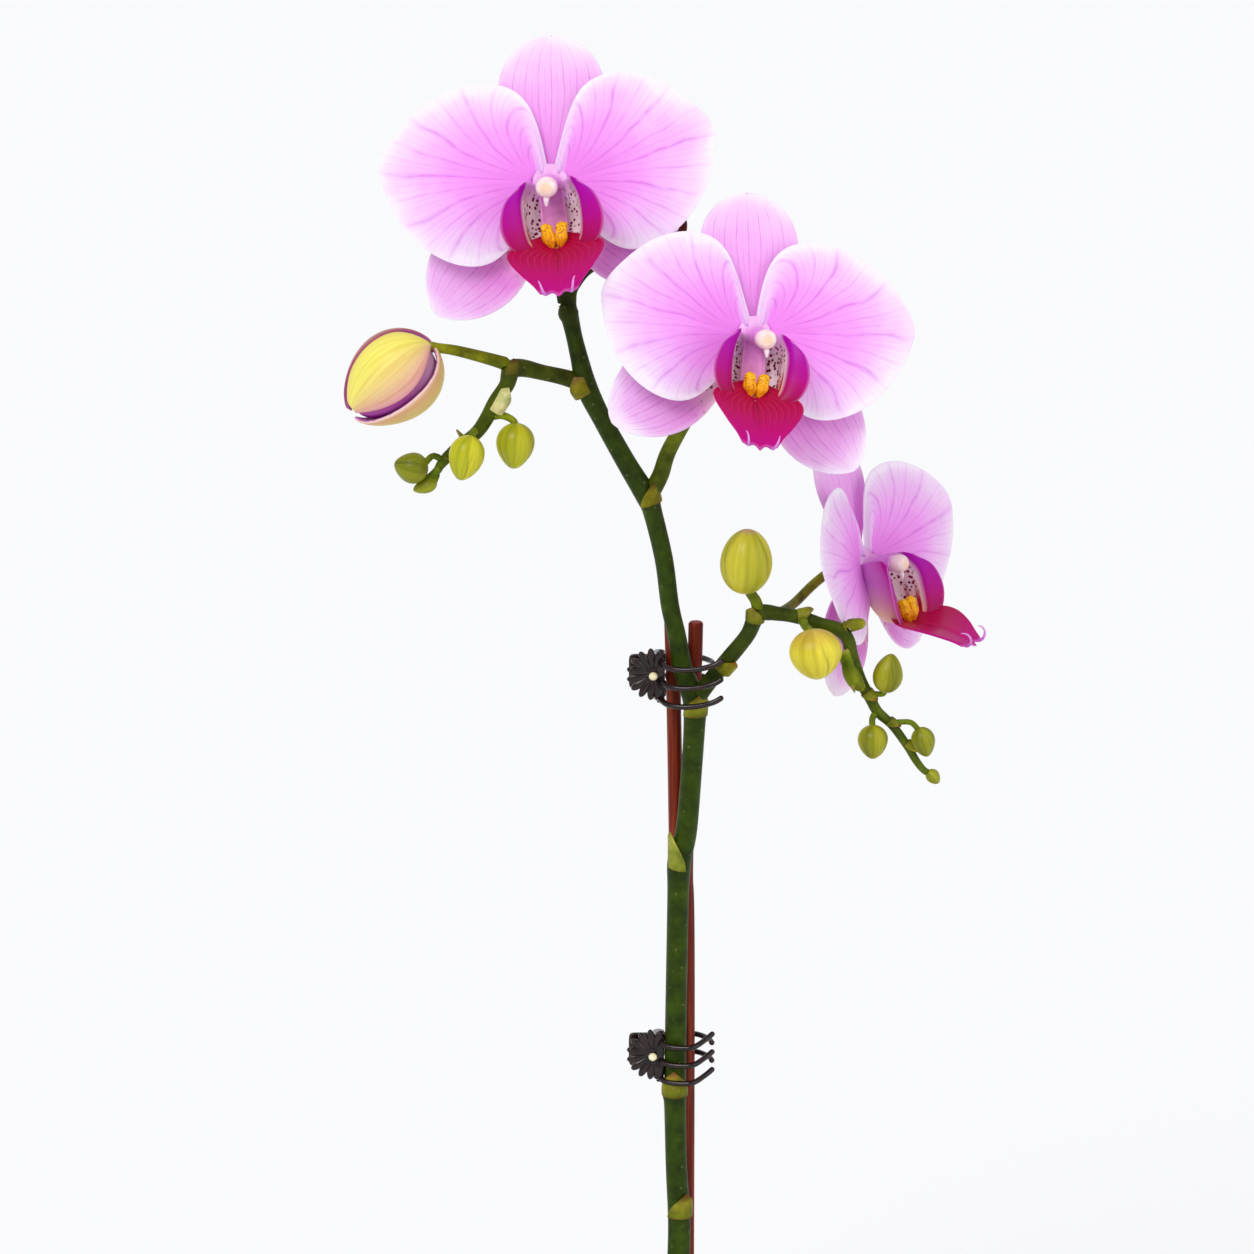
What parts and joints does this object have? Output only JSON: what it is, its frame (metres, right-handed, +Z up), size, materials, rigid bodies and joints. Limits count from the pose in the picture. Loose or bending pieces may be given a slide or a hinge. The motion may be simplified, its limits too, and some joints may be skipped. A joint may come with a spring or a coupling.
{
  "type": "potted orchid",
  "caption": "Moth orchid in a round glazed pot with bark, arching strap leaves, staked and clipped branching flower spike, pink open flowers and green buds.",
  "frame": {"origin": "centre of the flat underside of the pot", "axes": "+Z up along the flower spike, -Y towards the side that the flowers face, +X to the right as seen from the flowers' side"},
  "size_m": [0.3527, 0.1284, 0.5659],
  "materials": {
    "glazed_pot": "smooth white glaze over a cast body",
    "orchid_bark": "coarse chips of fir bark, dry on top",
    "leaf": "thick waxy strap leaf with a sunken midrib",
    "root": "silver-green spongy root skin",
    "stake": "thin round stake stained red-brown",
    "spike": "smooth dark green flower stem with paler nodes and bracts",
    "small_bud": "closed waxy yellow-green bud",
    "large_bud": "opening yellow bud with pink edges",
    "sepal": "satin lilac-pink blade with darker veins and pale edge",
    "petal": "satin lilac-pink blade with darker fanning veins and pale edge",
    "lip": "waxy magenta and crimson lip with an orange callus",
    "column": "waxy pink column with a cream cap",
    "clip_plastic": "injection-moulded glossy dark brown plastic",
    "clip_bead": "glossy cream plastic bead",
    "spring_steel": "bright drawn spring wire"
  },
  "bodies": {
    "plant": {"bud_large": "large_bud", "bud_left_1": "small_bud", "bud_left_2": "small_bud", "bud_left_3": "small_bud", "bud_left_4": "small_bud", "bud_right_1": "small_bud", "bud_right_2": "small_bud", "bud_right_3": "small_bud", "bud_tip": "small_bud", "bud_upright": "small_bud", "bud_yellow": "small_bud", "crown": "leaf", "flower_1_column": "column", "flower_1_dorsal_sepal": "sepal", "flower_1_lateral_sepal_left": "sepal", "flower_1_lateral_sepal_right": "sepal", "flower_1_lip": "lip", "flower_1_petal_left": "petal", "flower_1_petal_right": "petal", "flower_2_column": "column", "flower_2_dorsal_sepal": "sepal", "flower_2_lateral_sepal_left": "sepal", "flower_2_lateral_sepal_right": "sepal", "flower_2_lip": "lip", "flower_2_petal_left": "petal", "flower_2_petal_right": "petal", "flower_3_column": "column", "flower_3_dorsal_sepal": "sepal", "flower_3_lateral_sepal_left": "sepal", "flower_3_lateral_sepal_right": "sepal", "flower_3_lip": "lip", "flower_3_petal_left": "petal", "flower_3_petal_right": "petal", "leaf_1": "leaf", "leaf_2": "leaf", "leaf_3": "leaf", "leaf_4": "leaf", "leaf_5": "leaf", "left_branch": "spike", "lower_clip_back_jaw": "clip_plastic", "lower_clip_hinge_pin": "spring_steel", "lower_clip_spring": "spring_steel", "main_stem": "spike", "pot": "glazed_pot", "potting_bark": "orchid_bark", "right_branch": "spike", "root_1": "root", "root_2": "root", "root_3": "root", "stake_left": "stake", "stake_right": "stake", "upper_clip_back_jaw": "clip_plastic", "upper_clip_hinge_pin": "spring_steel", "upper_clip_spring": "spring_steel"},
    "upper_clip_jaw": {"upper_clip_front_jaw": "clip_plastic", "upper_clip_bead": "clip_bead"},
    "lower_clip_jaw": {"lower_clip_front_jaw": "clip_plastic", "lower_clip_bead": "clip_bead"}
  },
  "joints": [
    {"name": "upper_clip_hinge", "type": "hinge", "parent": "plant", "child": "upper_clip_jaw", "pos_m": [-0.0038, -0.0105, 0.3831], "axis": [0, 0, -1], "range_deg": [0, 34], "stiffness_Nm_per_rad": 0.01, "springref_deg": -34.38},
    {"name": "lower_clip_hinge", "type": "hinge", "parent": "plant", "child": "lower_clip_jaw", "pos_m": [-0.0038, -0.0105, 0.2695], "axis": [0, 0, -1], "range_deg": [0, 34], "stiffness_Nm_per_rad": 0.01, "springref_deg": -34.38}
  ]
}
